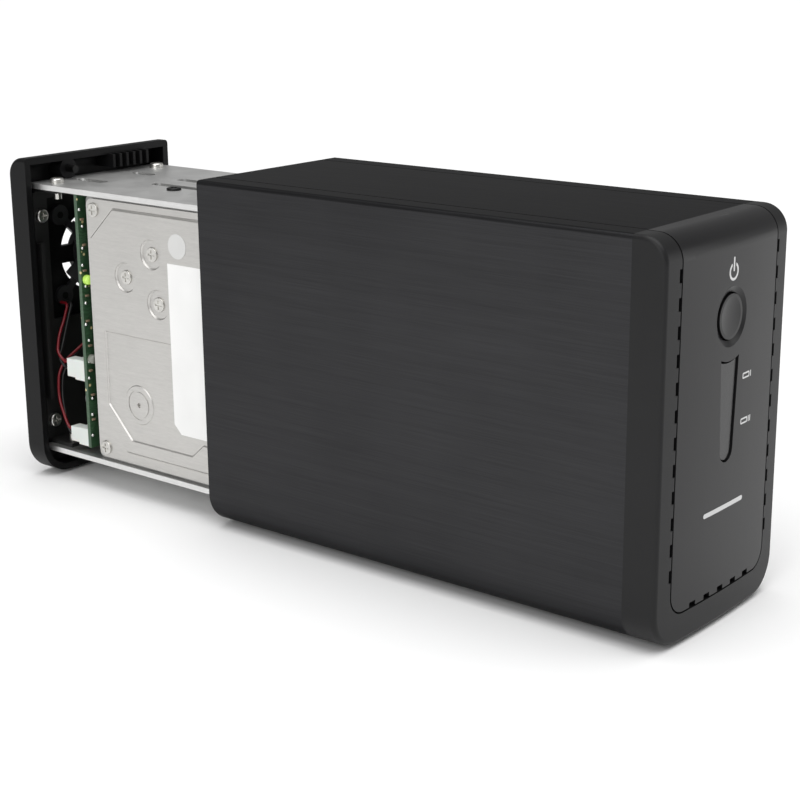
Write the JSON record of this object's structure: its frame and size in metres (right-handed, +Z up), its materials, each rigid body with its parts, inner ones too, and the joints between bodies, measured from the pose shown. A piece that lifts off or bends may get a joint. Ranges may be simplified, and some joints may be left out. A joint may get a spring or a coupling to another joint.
{
  "type": "nas enclosure",
  "caption": "Upright desktop network storage enclosure: brushed sleeve, rolled front with power button, and a drive tray that slides out of the back with its cover, fan and board.",
  "frame": {"origin": "centre of the closed enclosure's footprint, on the plane the feet rest on", "axes": "+X to the right seen from the front, +Y from the front panel to the rear cover (the way the tray slides out), +Z up"},
  "size_m": [0.073, 0.2902, 0.1262],
  "materials": {
    "sleeve": "dark anodised, brushed from front to back",
    "bezel": "fine grain, dark grey",
    "panel": "fine grain with a satin sheen",
    "mark": "pale grey print, smooth",
    "light_pipe": "smooth smoked light guide",
    "spring": "drawn spring wire",
    "black_plastic": "moulded black",
    "screw": "zinc plated",
    "black_screw": "black oxide",
    "foot": "soft matt rubber",
    "plate": "galvanised sheet, satin",
    "board": "pale green solder mask with a grey-green cut edge",
    "chip": "moulded chip package",
    "capacitor": "sleeved can with a bright top",
    "led": "tinted lamp lens",
    "white_plastic": "natural white nylon",
    "lead_red": "red insulation",
    "lead_black": "black insulation",
    "cover": "fine grain, near black",
    "bracket": "black coated sheet",
    "fan_plastic": "glass-filled black",
    "port_shell": "tinned shell",
    "drive_casting": "die-cast, fine rough surface",
    "drive_lid": "stamped, satin",
    "paper": "coated white label",
    "drive_pcb": "green solder mask"
  },
  "bodies": {
    "housing": {"outer_sleeve": "sleeve", "front_bezel": "bezel", "front_panel": "panel", "power_icon": "mark", "bay_marks": "mark", "front_badge": "mark", "light_pipe": "light_pipe", "button_spring": "spring", "button_guide": "black_plastic", "guide_screws": "screw", "rubber_foot": "foot"},
    "tray": {"top_plate": "plate", "bottom_plate": "plate", "top_drive_screws": "black_screw", "bottom_drive_screws": "black_screw", "top_plate_screws": "screw", "bottom_plate_screws": "screw", "backplane_board": "board", "sata_sockets": "black_plastic", "board_chips": "chip", "capacitors": "capacitor", "board_leds": "led", "wire_sockets": "white_plastic", "wire_plugs": "white_plastic", "fan_lead_red": "lead_red", "fan_lead_black": "lead_black", "power_lead_red": "lead_red", "power_lead_black": "lead_black", "front_board": "board", "front_board_screws": "screw", "tact_switch": "black_plastic", "front_leds": "led", "link_connector": "white_plastic", "rear_cover": "cover", "rear_bracket": "bracket", "bracket_screws": "screw", "fan_frame": "fan_plastic", "fan_screws": "black_screw", "io_board": "board", "lan_port": "port_shell", "usb_port": "port_shell", "dc_jack": "black_plastic", "mode_switch": "black_plastic", "drive_base_left": "drive_casting", "drive_lid_left": "drive_lid", "drive_label_left": "paper", "drive_lid_screws_left": "screw", "drive_board_left": "drive_pcb", "drive_connector_left": "black_plastic", "drive_base_right": "drive_casting", "drive_lid_right": "drive_lid", "drive_label_right": "paper", "drive_lid_screws_right": "screw", "drive_board_right": "drive_pcb", "drive_connector_right": "black_plastic"},
    "power_button": {"power_button": "panel"},
    "fan_rotor": {"fan_rotor": "fan_plastic"},
    "mode_knob": {"mode_knob": "black_plastic"},
    "closing_screw_top": {"closing_screw_top": "black_screw"},
    "closing_screw_bottom": {"closing_screw_bottom": "black_screw"}
  },
  "joints": [
    {"name": "tray_slide", "type": "slide", "parent": "housing", "child": "tray", "axis": [0, 1, 0], "range_m": [-0.092, 0.075]},
    {"name": "button_press", "type": "slide", "parent": "housing", "child": "power_button", "axis": [0, 1, 0], "range_m": [0, 0.001], "stiffness_N_per_m": 500, "springref_m": -0.0005, "deforming": ["button_spring"]},
    {"name": "fan_spin", "type": "hinge", "parent": "tray", "child": "fan_rotor", "pos_m": [0, 0.1819, 0.0857], "axis": [0, 1, 0], "continuous": true},
    {"name": "mode_slide", "type": "slide", "parent": "tray", "child": "mode_knob", "axis": [0, 0, 1], "range_m": [0, 0.002]},
    {"name": "closing_screw_top_turn", "type": "hinge", "parent": "tray", "child": "closing_screw_top", "pos_m": [-0.0154, 0.1895, 0.1204], "axis": [0, 1, 0], "continuous": true},
    {"name": "closing_screw_bottom_turn", "type": "hinge", "parent": "tray", "child": "closing_screw_bottom", "pos_m": [0, 0.1895, 0.0066], "axis": [0, 1, 0], "continuous": true}
  ]
}
